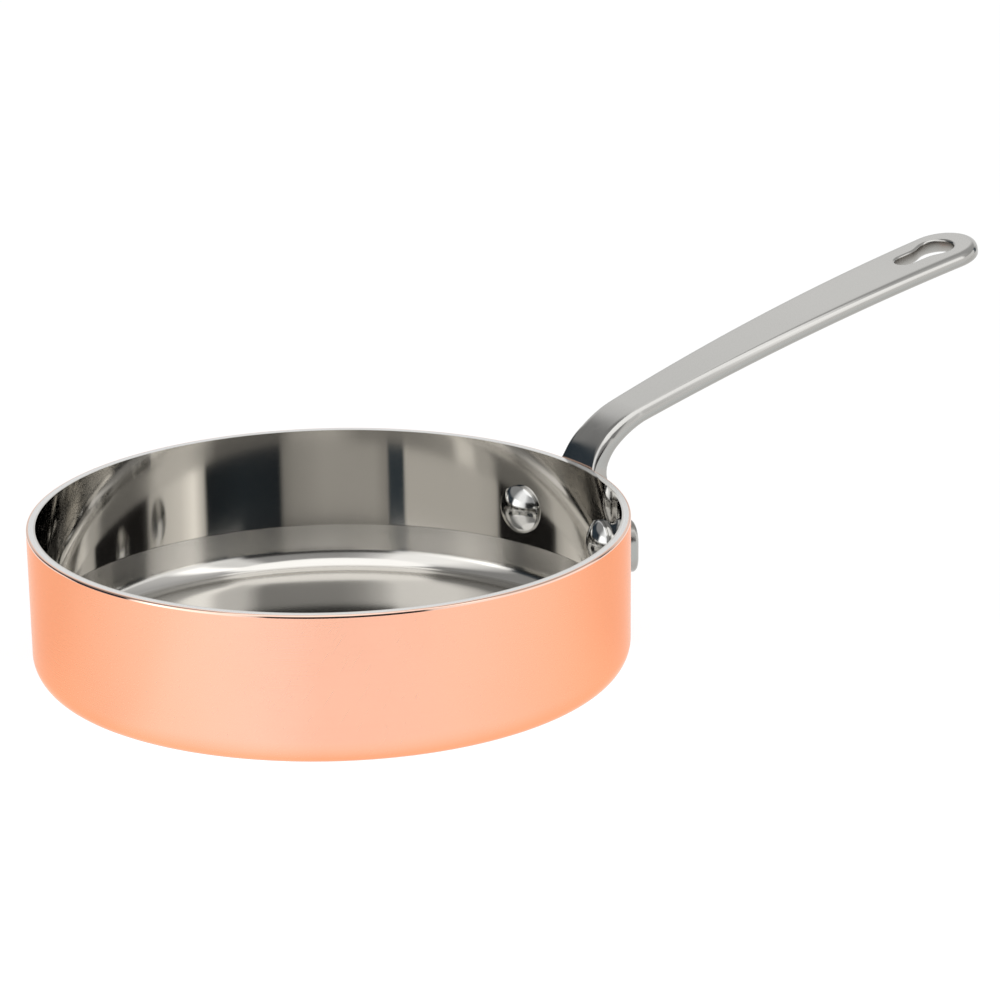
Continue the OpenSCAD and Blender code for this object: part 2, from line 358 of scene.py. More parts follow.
def line_point(s):
    """Point of the line, as distance from the pan's axis and height."""
    if s < lean_s:
        return lean_point + (s - lean_s) * Vector((math.cos(WALL_SLOPE), math.sin(WALL_SLOPE)))
    if s < bend_s:
        return lean_point + arc_step(BEND_RADIUS, WALL_SLOPE, slope(s))
    if s < shoulder_s:
        return bend_point + arc_step(SHOULDER_RADIUS, BEND_SLOPE, slope(s))
    return shoulder_point + arc_step(GRIP_RADIUS, GRIP_SLOPE, slope(s))


def ramp(value, start, end):
    """Share of the way from one value to another, held between 0 and 1."""
    return max(0.0, min(1.0, (value - start) / (end - start)))


print("line of the handle ends at", [round(v / MM, 2) for v in line_point(tip_s)], "mm")

# %% [markdown]
# Thickness and edge rounding change along the handle. It is thickest at the bracket, and
# the soft rounding of the upper edges starts only above the rim, because the bracket's
# inner face lies flat on the wall. The bracket wraps round the wall, and the wrap fades
# out along the bend: the factor hug goes from one to nothing there.

# %% Thickness, edges and place
GRIP_THICK = 3.5 * MM
UPPER_EDGE = 2.4 * MM
UPPER_EDGE_SHARE = 0.9
LOWER_EDGE = 0.8 * MM
WALL_EDGE_SHARE = 0.1
TIP_EDGE_SHARE = 0.7
NECK_WIDTH = 12.9 * MM
TIP_RADIUS = 9.6 * MM
TAPER_BOW_SHARE = 0.35
tip_middle_s = tip_s - TIP_RADIUS


def thickness(s):
    """Thickness of the handle at a distance along the line."""
    return BRACKET_THICK + (GRIP_THICK - BRACKET_THICK) * ramp(s, lean_s, shoulder_s)


def upper_round(s):
    """Rounding of the upper edge at a distance along the line."""
    most = min(UPPER_EDGE, UPPER_EDGE_SHARE * (thickness(s) - LOWER_EDGE))
    fade = max(WALL_EDGE_SHARE, ramp(s, lean_s, bend_s))
    return most * fade * (1 - (1 - TIP_EDGE_SHARE) * ramp(s, tip_middle_s, tip_s))


def in_place(s, y, depth):
    """Lays a point of the flat handle along the line and round the wall."""
    hug = 1 - ramp(s, lean_s, bend_s)
    start = line_point(s)
    depth = hug * SEAT_GAP + depth * (1 - hug * SEAT_GAP / thickness(s))
    reach = start[0] + depth
    turn = y / start[0]
    out = Vector((math.sin(slope(s)), -math.cos(slope(s))))
    place = start + out * (depth - hug * reach * (1 - math.cos(turn)))
    return Vector((place[0], y + hug * (reach * math.sin(turn) - y), place[1]))


# %% [markdown]
# The flat pattern starts as a grid for the bracket. Its middle columns run on into the
# neck: the edge between them is extruded again and again, and each new row is narrowed to
# the outline. For each point the list spots keeps where it belongs and which way the
# outline faces there, which the rounded edges need later.

# %% Flat pattern: bracket
BRACKET_LENGTH = 51 * MM
BRACKET_HEIGHT = 12.6 * MM
BRACKET_CORNER = 4.5 * MM
NECK_FILLET = 11 * MM
NECK_COLUMNS = 16
BRACKET_ROWS = 10
CORNER_COLUMNS = 8
corner_s = BRACKET_HEIGHT / 2 - BRACKET_CORNER
corner_y = BRACKET_LENGTH / 2 - BRACKET_CORNER
root_half = NECK_WIDTH / 2 + NECK_FILLET
spots = []


def bracket_columns():
    """Columns of one half of the bracket: y, the half height there, and its outward direction."""
    columns = [(root_half * j / NECK_COLUMNS, BRACKET_HEIGHT / 2, 1, 0) for j in range(NECK_COLUMNS + 1)]
    columns.append(((root_half + corner_y) / 2, BRACKET_HEIGHT / 2, 1, 0))
    for k in range(CORNER_COLUMNS + 1):
        a = math.pi / 2 * k / CORNER_COLUMNS
        y = corner_y + BRACKET_CORNER * math.sin(a)
        columns.append((y, corner_s + BRACKET_CORNER * math.cos(a), math.cos(a), math.sin(a)))
    return columns


half_columns = bracket_columns()
last_column = len(half_columns) - 1
bpy.ops.object.select_all(action="DESELECT")
bpy.ops.mesh.primitive_grid_add(x_subdivisions=BRACKET_ROWS, y_subdivisions=2 * last_column, size=1)
handle = bpy.context.object
handle.name = "steel_handle"
handle.data.name = "steel_handle"
for vertex in handle.data.vertices:
    share = 2 * round((vertex.co.x + 0.5) * BRACKET_ROWS) / BRACKET_ROWS - 1
    number = round((vertex.co.y + 0.5) * 2 * last_column) - last_column
    y, half_height, out_s, out_y = half_columns[abs(number)]
    side = 1 if number > 0 else -1
    vertex.co = (share * half_height, side * y, 0)
    spots.append(((share * half_height, side * y), (share * out_s, side * out_y), "outside"))
print("bracket points:", len(handle.data.vertices))

# %% Flat pattern: neck and grip
FILLET_ROWS = 16
NECK_ROWS = 44
GRIP_ROWS = 96
TIP_ROWS = 20
LAST_ROW_SHARE = 0.5
fillet_s = BRACKET_HEIGHT / 2 + NECK_FILLET


def grip_half(share):
    """Half width of the grip, which grows a little faster near the neck."""
    growth = share * (1 + TAPER_BOW_SHARE * (1 - share))
    return NECK_WIDTH / 2 + (TIP_RADIUS - NECK_WIDTH / 2) * growth


def neck_rows():
    """Rows after the bracket: distance, half width, and outward direction of the outline."""
    rows = []
    for i in range(1, FILLET_ROWS + 1):
        a = math.pi / 2 * i / FILLET_ROWS
        half = NECK_WIDTH / 2 + NECK_FILLET * (1 - math.sin(a))
        rows.append((fillet_s - NECK_FILLET * math.cos(a), half, math.cos(a), math.sin(a)))
    for i in range(1, NECK_ROWS + 1):
        rows.append((fillet_s + (shoulder_s - fillet_s) * i / NECK_ROWS, NECK_WIDTH / 2, 0, 1))
    for i in range(1, GRIP_ROWS + 1):
        share = i / GRIP_ROWS
        rows.append((shoulder_s + (tip_middle_s - shoulder_s) * share, grip_half(share), 0, 1))
    for i in range(1, TIP_ROWS + 1):
        a = math.pi / 2 * i / (TIP_ROWS + LAST_ROW_SHARE)
        ahead, beside = math.sin(a), math.cos(a)
        rows.append((tip_middle_s + TIP_RADIUS * ahead, TIP_RADIUS * beside, ahead, beside))
    return rows


def open_handle(kind):
    """Opens the handle in edit mode with no point, edge or face selected."""
    bpy.ops.object.mode_set(mode="EDIT")
    bpy.ops.mesh.select_mode(type=kind)
    bpy.ops.mesh.select_all(action="DESELECT")
    return bmesh.from_edit_mesh(handle.data)


rows = neck_rows()
sheet = open_handle("VERT")
for vertex in sheet.verts:
    on_edge = abs(vertex.co.x - BRACKET_HEIGHT / 2) < TINY
    vertex.select_set(on_edge and abs(vertex.co.y) < root_half + TINY)
sheet.select_flush(True)
for row_s, half, out_s, out_y in rows:
    bpy.ops.mesh.extrude_region_move(TRANSFORM_OT_translate={"value": (MM, 0, 0)})
    sheet = bmesh.from_edit_mesh(handle.data)
    row = sorted((v for v in sheet.verts if v.select), key=lambda v: v.co.y)
    for number, vertex in enumerate(row):
        across = number / NECK_COLUMNS - 1
        vertex.co = (row_s, across * half, 0)
        spots.append(((row_s, across * half), (out_s, across * out_y), "outside"))
    bmesh.update_edit_mesh(handle.data)
bpy.ops.object.mode_set(mode="OBJECT")
print("points of the flat pattern:", len(handle.data.vertices), "rows:", len(rows))

# %% [markdown]
# The keyhole hangs the pan on a wall hook: the wide end goes over the hook's head, and
# the narrow end drops onto its stem. The faces in its way are deleted, and the border of
# the opening is extruded twice towards the outline of the keyhole. The first ring keeps
# the flat face flat, and the second one is the outline itself.

# %% Keyhole outline
HOLE_RADIUS = 4.5 * MM
SLOT_RADIUS = 2.9 * MM
SLOT_LENGTH = 9 * MM
HOLE_BLEND = 6 * MM
HOLE_SETBACK = 10.6 * MM
HOLE_EDGE = 0.8 * MM
HOLE_MARGIN = 2.7 * MM
HOLE_FLAT = 1 * MM
CUT_COLUMNS = 14
CUT_SHARE = (CUT_COLUMNS + 0.1) / NECK_COLUMNS
hole_s = tip_s - HOLE_SETBACK
blend_y = SLOT_RADIUS + HOLE_BLEND
blend_x = math.sqrt((HOLE_RADIUS + HOLE_BLEND) ** 2 - blend_y**2)
blend_end = HOLE_RADIUS * blend_x / (HOLE_RADIUS + HOLE_BLEND)


def hole_spot(s, y):
    """Point of the keyhole's outline beside a place, and its direction into the hole."""
    x = s - hole_s
    side = 1 if y > 0 else -1
    if x >= 0 or x <= -SLOT_LENGTH:
        middle = Vector((0 if x >= 0 else -SLOT_LENGTH, 0))
        radius = HOLE_RADIUS if x >= 0 else SLOT_RADIUS
        out = (Vector((x, y)) - middle).normalized()
        spot = middle + radius * out
        return (hole_s + spot[0], spot[1]), (-out[0], -out[1])
    if x >= -blend_end:
        half = math.sqrt(HOLE_RADIUS**2 - x * x)
        return (s, side * half), (-x / HOLE_RADIUS, -side * half / HOLE_RADIUS)
    if x >= -blend_x:
        half = blend_y - math.sqrt(HOLE_BLEND**2 - (x + blend_x) ** 2)
        return (s, side * half), ((x + blend_x) / HOLE_BLEND, side * (half - blend_y) / HOLE_BLEND)
    return (s, side * SLOT_RADIUS), (0, -side)


# %% Cut the keyhole
row_places = [row[0] for row in rows]
cut_from = max(s for s in row_places if s < hole_s - SLOT_LENGTH - SLOT_RADIUS - HOLE_MARGIN)
cut_to = min(s for s in row_places if s > hole_s + HOLE_RADIUS + HOLE_MARGIN)


def half_width(s):
    """Half width of the grip and the round tip at a distance along the line."""
    if s < tip_middle_s:
        return grip_half((s - shoulder_s) / (tip_middle_s - shoulder_s))
    return math.sqrt(max(0.0, TIP_RADIUS**2 - (s - tip_middle_s) ** 2))


def in_window(vertex):
    """Tells whether a point lies in or on the edge of the window cut for the keyhole."""
    s, y = vertex.co.x, vertex.co.y
    along = cut_from - TINY < s < cut_to + TINY
    return along and abs(y) < CUT_SHARE * half_width(s)


sheet = open_handle("FACE")
for face in sheet.faces:
    face.select_set(all(in_window(v) for v in face.verts))
print("faces deleted for the keyhole:", sum(face.select for face in sheet.faces))
bpy.ops.mesh.delete(type="FACE")
bpy.ops.object.mode_set(mode="OBJECT")

# %% Extrude to the keyhole
sheet = open_handle("EDGE")
for edge in sheet.edges:
    edge.select_set(edge.is_boundary and all(in_window(v) for v in edge.verts))
for kind, flat in (("flat", HOLE_FLAT), ("hole", 0.0)):
    bpy.ops.mesh.extrude_edges_move(TRANSFORM_OT_translate={"value": (0, 0, 0)})
    sheet = bmesh.from_edit_mesh(handle.data)
    ring = [vertex for vertex in sheet.verts if vertex.select]
    for vertex in ring:
        spot, out = hole_spot(vertex.co.x, vertex.co.y)
        spot = (spot[0] - flat * out[0], spot[1] - flat * out[1])
        vertex.co = (*spot, 0)
        spots.append((spot, out, kind))
    bmesh.update_edit_mesh(handle.data)
bpy.ops.object.mode_set(mode="OBJECT")
print("points round the keyhole:", len(ring))

# %% [markdown]
# Extruding the pattern downwards gives it a thickness, and cutting the new upright edges
# gives the rows that the rounded edges need. Then every point goes to its place: layer by
# layer round the edges, along the line, and round the wall. Each point also remembers
# how far round an edge it lies, because hands wear the edges, and the sides get painted
# shade.

# %% Thickness
UPPER_STEPS = 9
LOWER_STEPS = 5
FLAT_DEPTH = 1
layers = [("upper", math.pi / 2 * i / UPPER_STEPS) for i in range(UPPER_STEPS + 1)]
layers += [("lower", math.pi / 2 * i / LOWER_STEPS) for i in range(LOWER_STEPS + 1)]

bpy.ops.object.mode_set(mode="EDIT")
bpy.ops.mesh.select_mode(type="FACE")
bpy.ops.mesh.select_all(action="SELECT")
bpy.ops.mesh.extrude_region_move(TRANSFORM_OT_translate={"value": (0, 0, -FLAT_DEPTH)})
bpy.ops.mesh.select_mode(type="EDGE")
bpy.ops.mesh.select_all(action="DESELECT")
sheet = bmesh.from_edit_mesh(handle.data)
for edge in sheet.edges:
    edge.select_set(abs(edge.verts[0].co.z - edge.verts[1].co.z) > FLAT_DEPTH / 2)
bpy.ops.mesh.subdivide(number_cuts=len(layers) - 2)
bpy.ops.object.mode_set(mode="OBJECT")
print("points with thickness:", len(handle.data.vertices), "layers:", len(layers))

# %% Rounded edges
# How closely the painted shade keeps to the upright sides of the handle.
SIDE_SHADE_SHARPNESS = 4
HOLE_WALL_START = math.pi / 3


def skin_point(spot, out, kind, layer):
    """Distance, width and depth of a point of the flat pattern in one layer of the handle."""
    edge, angle = layer
    s = spot[0]
    if kind == "flat":
        radius = 0.0
    elif kind == "hole":
        radius = HOLE_EDGE
    else:
        radius = upper_round(s) if edge == "upper" else LOWER_EDGE
    if edge == "upper":
        inset = radius * (1 - math.sin(angle))
        depth = radius * (1 - math.cos(angle))
    else:
        inset = radius * (1 - math.cos(angle))
        depth = thickness(s) - radius * (1 - math.sin(angle))
    return s - inset * out[0], spot[1] - inset * out[1], depth


spot_tree = KDTree(len(spots))
for number, (spot, out, kind) in enumerate(spots):
    spot_tree.insert((*spot, 0), number)
spot_tree.balance()
farthest = 0.0
flat_places = []
shares = {"wear": [], "side": [], "in_hole": []}
for vertex in handle.data.vertices:
    _, number, distance = spot_tree.find((vertex.co.x, vertex.co.y, 0))
    farthest = max(farthest, distance)
    layer = layers[round(-vertex.co.z / FLAT_DEPTH * (len(layers) - 1))]
    edge, angle = layer
    upright = math.sin(angle) if edge == "upper" else math.cos(angle)
    flat_places.append(skin_point(*spots[number], layer))
    shares["wear"].append(math.sin(2 * angle))
    # The share side is the mask for painted shade on the handle's upright sides.
    shares["side"].append(upright ** SIDE_SHADE_SHARPNESS)
    shares["in_hole"].append(float(spots[number][2] == "hole" and angle > HOLE_WALL_START))
    vertex.co = in_place(*flat_places[-1])
keep_places(handle, flat_places)
for name, values in shares.items():
    handle.data.attributes.new(name, "FLOAT", "POINT").data.foreach_set("value", values)
print("largest miss of a point:", farthest)

# %% Finish the handle
bpy.ops.object.mode_set(mode="EDIT")
bpy.ops.mesh.select_all(action="SELECT")
bpy.ops.mesh.normals_make_consistent(inside=False)
bpy.ops.object.mode_set(mode="OBJECT")
bpy.ops.object.shade_smooth_by_angle(angle=CREASE)
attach(handle, "root")
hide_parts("handle")
report(handle)

# %% [markdown]
# Polished steel has hardly a colour of its own: it shows the room. A photographer hangs
# white cloth round the pan, leaves gaps of dark room between, and puts a large soft lamp
# overhead. That gives the dark and light bands that make metal look like metal. The room
# here is a world in three zones. The low and the middle zone change with the direction
# round the pan, and the top zone is the lamp.

# %% Room round the pan
LOW_BAND = [
    (-180, 1.7), (-160, 1.3), (-151, 0.9), (-147, 0.1), (-142, 0.02), (-88, 0.02), (-85, 0.9),
    (-80, 1.05), (-66, 1.15), (-5, 1.15), (-3, 0.1), (8, 0.1), (10, 0.6), (20, 0.85), (60, 0.85),
    (84, 0.65), (92, 0.5), (96, 0.04), (126, 0.05), (156, 0.03), (159, 1.2), (168, 2.4), (180, 1.7),
]
MIDDLE_BAND = [
    (-180, 1.3), (-153, 1.25), (-145, 0.8), (-136, 0.5), (-127, 0.38), (-92, 0.36), (-84, 0.95),
    (-72, 0.95), (-66, 1.7), (-56, 1.7), (-48, 0.7), (-15, 0.5), (30, 0.5), (52, 1.0), (62, 1.0),
    (84, 0.8), (98, 0.3), (150, 0.3), (165, 0.9), (180, 1.3),
]
LOW_END = math.radians(22)
MIDDLE_START = math.radians(28)
LAMP_LIGHT = (1.5, 1.5, 1.5, 1)
LAMP_LEAN = math.radians(14)
LAMP_REACH = math.radians(22)
LAMP_EDGE = math.radians(5)
SHADE = (0.72, 1.0, 1.3)
SHADE_LIGHT = 0.2
SHADE_START = -10
BACKDROP = (1, 1, 1, 1)
print("directions with a light of their own:", len(LOW_BAND), "low,", len(MIDDLE_BAND), "in the middle")


# %% Helpers for node trees
def add_node(tree, kind, values=None, **settings):
    """A new node with its settings, and values or links for its inputs."""
    node = tree.nodes.new(kind)
    for name, value in settings.items():
        setattr(node, name, value)
    for name, value in (values or {}).items():
        if isinstance(value, bpy.types.NodeSocket):
            tree.links.new(value, node.inputs[name])
        else:
            node.inputs[name].default_value = value
    return node


def add_math(tree, kind, *values):
    """One step of arithmetic, with its result."""
    return add_node(tree, "ShaderNodeMath", dict(enumerate(values)), operation=kind).outputs[0]


def add_vector_math(tree, kind, *values, output="Vector"):
    """One step of arithmetic with vectors, with its result."""
    return add_node(tree, "ShaderNodeVectorMath", dict(enumerate(values)), operation=kind).outputs[output]


def add_ramp(tree, value, stops):
    """A colour ramp from a list of places and colours."""
    ramp = add_node(tree, "ShaderNodeValToRGB", {"Fac": value})
    ramp.color_ramp.elements.remove(ramp.color_ramp.elements[1])
    for number, (place, colour) in enumerate(stops):
        stop = ramp.color_ramp.elements[0] if number == 0 else ramp.color_ramp.elements.new(place)
        stop.position = place
        stop.color = (*colour, 1)
    return ramp.outputs["Color"]


def add_rise(tree, value, start, end):
    """A smooth rise from 0 to 1, between two values."""
    values = {"Value": value, "From Min": start, "From Max": end}
    return add_node(tree, "ShaderNodeMapRange", values, interpolation_type="SMOOTHSTEP").outputs[0]


def add_cone(tree, look, axis, reach, edge):
    """1 up to an angle from an axis, and a smooth fall over the edge beyond it."""
    nearness = add_vector_math(tree, "DOT_PRODUCT", look, axis, output="Value")
    return add_rise(tree, nearness, math.cos(reach + edge), math.cos(reach))


def add_mix(tree, factor, a, b):
    """A mix of two colours."""
    return add_node(tree, "ShaderNodeMix", {0: factor, 6: a, 7: b}, data_type="RGBA").outputs[2]


# %% Nodes of the room
def band_stops(band):
    """Ramp stops from directions in degrees and their light, with blue shade in some gaps."""
    stops = []
    for direction, light in band:
        tint = SHADE if light < SHADE_LIGHT and direction > SHADE_START else (1.0, 1.0, 1.0)
        stops.append((direction / 360 + 0.5, tuple(light * part for part in tint)))
    return stops


world = bpy.data.worlds.new("studio")
bpy.context.scene.world = world
world.use_nodes = True
room = world.node_tree
room.nodes.clear()
look = add_node(room, "ShaderNodeTexCoord").outputs["Generated"]
axes = add_node(room, "ShaderNodeSeparateXYZ", {0: look})
turn = add_math(room, "ARCTAN2", axes.outputs["Y"], axes.outputs["X"])
turn_share = add_math(room, "MULTIPLY_ADD", turn, 0.5 / math.pi, 0.5)
height = add_math(room, "ARCSINE", axes.outputs["Z"])
low_light = add_ramp(room, turn_share, band_stops(LOW_BAND))
middle_light = add_ramp(room, turn_share, band_stops(MIDDLE_BAND))
over_low = add_rise(room, height, LOW_END, MIDDLE_START)
to_camera = Vector((CAMERA_PLACE.x, CAMERA_PLACE.y, 0)).normalized()
lamp_axis = to_camera * math.sin(LAMP_LEAN) + Vector((0, 0, math.cos(LAMP_LEAN)))
overhead = add_cone(room, look, lamp_axis, LAMP_REACH, LAMP_EDGE)
room_light = add_mix(room, over_low, low_light, middle_light)
room_light = add_mix(room, overhead, room_light, LAMP_LIGHT)
seen_in_metal = add_node(room, "ShaderNodeBackground", {"Color": room_light})
seen_directly = add_node(room, "ShaderNodeBackground", {"Color": BACKDROP})
path = add_node(room, "ShaderNodeLightPath")
world_light = add_node(
    room, "ShaderNodeMixShader",
    {0: path.outputs["Is Camera Ray"], 1: seen_in_metal.outputs[0], 2: seen_directly.outputs[0]},
)
add_node(room, "ShaderNodeOutputWorld", {"Surface": world_light.outputs[0]})
print("nodes of the room:", len(room.nodes))

# %% [markdown]
# Metal is worked in a direction, and the work stays in the surface. The pan is spun
# against a fine belt, so its lines run round it. The lines depend on radius and height
# only, and fade in and out round the pan. The handle is ground lengthwise, so its lines
# follow the flat pattern that every point remembers. Groups hold what the metals share.

# %% Groups for lines
LINE_NOISE = {"Scale": 1.0, "Detail": 3.0, "Roughness": 0.6}


def new_group(name, inputs, outputs):
    """A new node group that reads a place and some values, with its input and output node."""
    group = bpy.data.node_groups.new(name, "ShaderNodeTree")
    group.interface.new_socket("Place", in_out="INPUT", socket_type="NodeSocketVector")
    for direction, names in (("INPUT", inputs), ("OUTPUT", outputs)):
        for socket_name in names:
            group.interface.new_socket(socket_name, in_out=direction, socket_type="NodeSocketFloat")
    return group, group.nodes.new("NodeGroupInput"), group.nodes.new("NodeGroupOutput")


def end_with_noise(group, end, along, across, deep):
    """Lets a group put out noise that is read at three coordinates."""
    place = add_node(group, "ShaderNodeCombineXYZ", {0: along, 1: across, 2: deep})
    noise = add_node(group, "ShaderNodeTexNoise", {"Vector": place.outputs[0], **LINE_NOISE})
    group.links.new(noise.outputs["Fac"], end.inputs["Value"])
    return group


def make_turned_lines():
    """Fine lines round the upright axis, from 0 to 1."""
    group, start, end = new_group("turned lines", ["Lines", "Breaks"], ["Value"])
    axes = add_node(group, "ShaderNodeSeparateXYZ", {0: start.outputs["Place"]})
    flat = add_node(group, "ShaderNodeCombineXYZ", {0: axes.outputs[0], 1: axes.outputs[1]}).outputs[0]
    radius = add_vector_math(group, "LENGTH", flat, output="Value")
    unit = add_vector_math(group, "NORMALIZE", flat)
    spread = add_vector_math(group, "MULTIPLY", unit, start.outputs["Breaks"])
    across = add_math(group, "SUBTRACT", axes.outputs[2], radius)
    across = add_math(group, "MULTIPLY", across, start.outputs["Lines"])
    parts = add_node(group, "ShaderNodeSeparateXYZ", {0: spread})
    return end_with_noise(group, end, parts.outputs[0], parts.outputs[1], across)


def make_long_lines():
    """Fine lines along the first coordinate, from 0 to 1."""
    group, start, end = new_group("long lines", ["Lines", "Breaks"], ["Value"])
    axes = add_node(group, "ShaderNodeSeparateXYZ", {0: start.outputs["Place"]})
    along = add_math(group, "MULTIPLY", axes.outputs[0], start.outputs["Breaks"])
    across = add_math(group, "MULTIPLY", axes.outputs[1], start.outputs["Lines"])
    deep = add_math(group, "MULTIPLY", axes.outputs[2], start.outputs["Lines"])
    return end_with_noise(group, end, along, across, deep)


turned_lines = make_turned_lines()
long_lines = make_long_lines()

# %% Group for handling
CLOUD_DETAIL = 4.0
CLOUD_RANGE = (0.35, 0.7)
SCRATCH_TURN = (0.5, 0.9, 0.7)
SCRATCH_STRETCH = (60, 3500, 3500)
SCRATCH_NOISE = {"Scale": 1.0, "Detail": 1.0}
SCRATCH_RANGE = (0.66, 0.78)


def make_handling():
    """Soft cloudy marks from hands and cloths, and fine crossing scratches, from 0 to 1."""
    group, start, end = new_group("handling", ["Size"], ["Clouds", "Scratches"])
    clouds = add_node(
        group, "ShaderNodeTexNoise",
        {"Vector": start.outputs["Place"], "Scale": start.outputs["Size"], "Detail": CLOUD_DETAIL},
    )
    group.links.new(add_rise(group, clouds.outputs["Fac"], *CLOUD_RANGE), end.inputs["Clouds"])
    bend = add_node(
        group, "ShaderNodeVectorRotate", {"Vector": start.outputs["Place"], "Rotation": SCRATCH_TURN},
        rotation_type="EULER_XYZ",
    )
    stretch = add_vector_math(group, "MULTIPLY", bend.outputs[0], SCRATCH_STRETCH)
    fine = add_node(group, "ShaderNodeTexNoise", {"Vector": stretch, **SCRATCH_NOISE})
    group.links.new(add_rise(group, fine.outputs["Fac"], *SCRATCH_RANGE), end.inputs["Scratches"])
    return group


handling = make_handling()
print("node groups:", [group.name for group in bpy.data.node_groups])

# %% [markdown]
# A metal differs from the next one in its colour and in a few amounts: how close its lines
# are and how long they run, how rough it is, and how much the lines, the cloudy marks and
# the scratches add to that. So each metal has a table of amounts, called its finish, and
# the helpers here turn a finish into nodes.

# %% Helpers for the metals
GRAIN_ALONG = 0.0
GRAIN_ACROSS = 0.25


def new_metal(name):
    """An empty material with its tree and its metal shader."""
    material = bpy.data.materials.new(name)
    material.use_nodes = True
    shader = material.node_tree.nodes["Principled BSDF"]
    shader.inputs["Metallic"].default_value = 1
    return material, material.node_tree, shader


def add_object_place(tree):
    """The place of a point on the piece."""
    return add_node(tree, "ShaderNodeTexCoord").outputs["Object"]


def add_height(tree, place):
    """The height of a place."""
    return add_node(tree, "ShaderNodeSeparateXYZ", {0: place}).outputs[2]


def add_attribute(tree, name, output="Fac"):
    """A value that every point of the piece carries."""
    return add_node(tree, "ShaderNodeAttribute", attribute_name=name).outputs[output]


def add_group(tree, group, place, **values):
    """A group node that reads a place."""
    node = add_node(tree, "ShaderNodeGroup", node_tree=group)
    tree.links.new(place, node.inputs["Place"])
    for name, value in values.items():
        node.inputs[name].default_value = value
    return node


def add_marks(tree, group, finish, line_place, place):
    """Lines and cloudy marks of a finish, and the roughness that its marks add up to."""
    lines = add_group(tree, group, line_place, Lines=finish["lines"], Breaks=finish["breaks"]).outputs[0]
    marks = add_group(tree, handling, place, Size=finish["cloud_size"])
    rough = add_math(tree, "MULTIPLY_ADD", lines, finish["line_rough"], finish["rough"])
    rough = add_math(tree, "MULTIPLY_ADD", marks.outputs["Clouds"], finish["cloud_rough"], rough)
    rough = add_math(tree, "MULTIPLY_ADD", marks.outputs["Scratches"], finish["scratch_rough"], rough)
    return lines, marks.outputs["Clouds"], rough


def add_bump(tree, shader, lines, finish, normal=None):
    """Bump from lines between 0 and 1, with the depth that 1 stands for."""
    values = {"Height": lines, "Distance": finish["depth"], "Strength": finish["bump"]}
    if normal is not None:
        values["Normal"] = normal
    bump = add_node(tree, "ShaderNodeBump", values)
    tree.links.new(bump.outputs[0], shader.inputs["Normal"])


def lean_normals(tree, rise):
    """Normals of the surface, turned up by a rise."""
    skin = add_node(tree, "ShaderNodeNewGeometry").outputs["Normal"]
    lean = add_node(tree, "ShaderNodeCombineXYZ", {2: rise}).outputs[0]
    return add_vector_math(tree, "NORMALIZE", add_vector_math(tree, "ADD", skin, lean))


def lay_grain(tree, shader, finish, turn, axis):
    """Stretches the reflections across the lines of a finish, which lie by an axis."""
    shader.inputs["Anisotropic"].default_value = finish["grain"]
    shader.inputs["Anisotropic Rotation"].default_value = turn
    tangent = add_node(tree, "ShaderNodeTangent", direction_type="RADIAL", axis=axis)
    tree.links.new(tangent.outputs[0], shader.inputs["Tangent"])


def give_metal(material, *pieces):
    """Gives a metal to pieces."""
    for piece in pieces:
        piece.data.materials.append(material)
    print(material.name, "nodes:", len(material.node_tree.nodes), "pieces:", [p.name for p in pieces])


# %% [markdown]
# The outside is copper under a thin warm lacquer, which keeps it from going dark. Seen
# at a slant the light passes through more lacquer, so the sides of the pan look deeper
# orange than its front. The rim edge is bare and polished, and rolled back a little, so it
# shows the dark gaps of the room as a thin line.

# %% Copper
COPPER = (0.955, 0.775, 0.88, 1)
COPPER_WARM = (0.95, 0.75, 0.835, 1)
BARE_COPPER = (0.9, 0.62, 0.5, 1)
LACQUER = (1, 0.65, 0.41, 1)
LACQUER_IOR = 1.12
LACQUER_ROUGH = 0.2
EDGE_POLISH_START = PAN_HEIGHT - 0.75 * MM
EDGE_POLISH_END = PAN_HEIGHT - 0.65 * MM
EDGE_POLISH_SHARE = 0.8
EDGE_LEAN = math.radians(14.5)
COPPER_FINISH = {
    "lines": 5000.0, "breaks": 4.0, "cloud_size": 35.0, "depth": 0.01 * MM, "bump": 0.05,
    "rough": 0.21, "line_rough": 0.06, "cloud_rough": 0.03, "scratch_rough": 0.05, "grain": 0.6,
}


def make_copper():
    """Brushed copper under a warm lacquer."""
    material, tree, shader = new_metal("copper")
    place = add_object_place(tree)
    height = add_height(tree, place)
    lines, clouds, rough = add_marks(tree, turned_lines, COPPER_FINISH, place, place)
    polished = add_rise(tree, height, EDGE_POLISH_START, EDGE_POLISH_END)
    warm = add_math(tree, "MULTIPLY", add_math(tree, "ADD", lines, clouds), 0.5)
    brushed = add_mix(tree, warm, COPPER, COPPER_WARM)
    tree.links.new(add_mix(tree, polished, brushed, BARE_COPPER), shader.inputs["Base Color"])
    dullness = add_math(tree, "MULTIPLY_ADD", polished, -EDGE_POLISH_SHARE, 1.0)
    tree.links.new(add_math(tree, "MULTIPLY", rough, dullness), shader.inputs["Roughness"])
    lay_grain(tree, shader, COPPER_FINISH, GRAIN_ACROSS, "Z")
    rolled = add_math(tree, "MULTIPLY", polished, math.sin(EDGE_LEAN))
    add_bump(tree, shader, lines, COPPER_FINISH, lean_normals(tree, rolled))
    lacquered = add_math(tree, "SUBTRACT", 1.0, polished)
    tree.links.new(lacquered, shader.inputs["Coat Weight"])
    shader.inputs["Coat IOR"].default_value = LACQUER_IOR
    shader.inputs["Coat Roughness"].default_value = LACQUER_ROUGH
    shader.inputs["Coat Tint"].default_value = LACQUER
    return material


give_metal(make_copper(), copper)
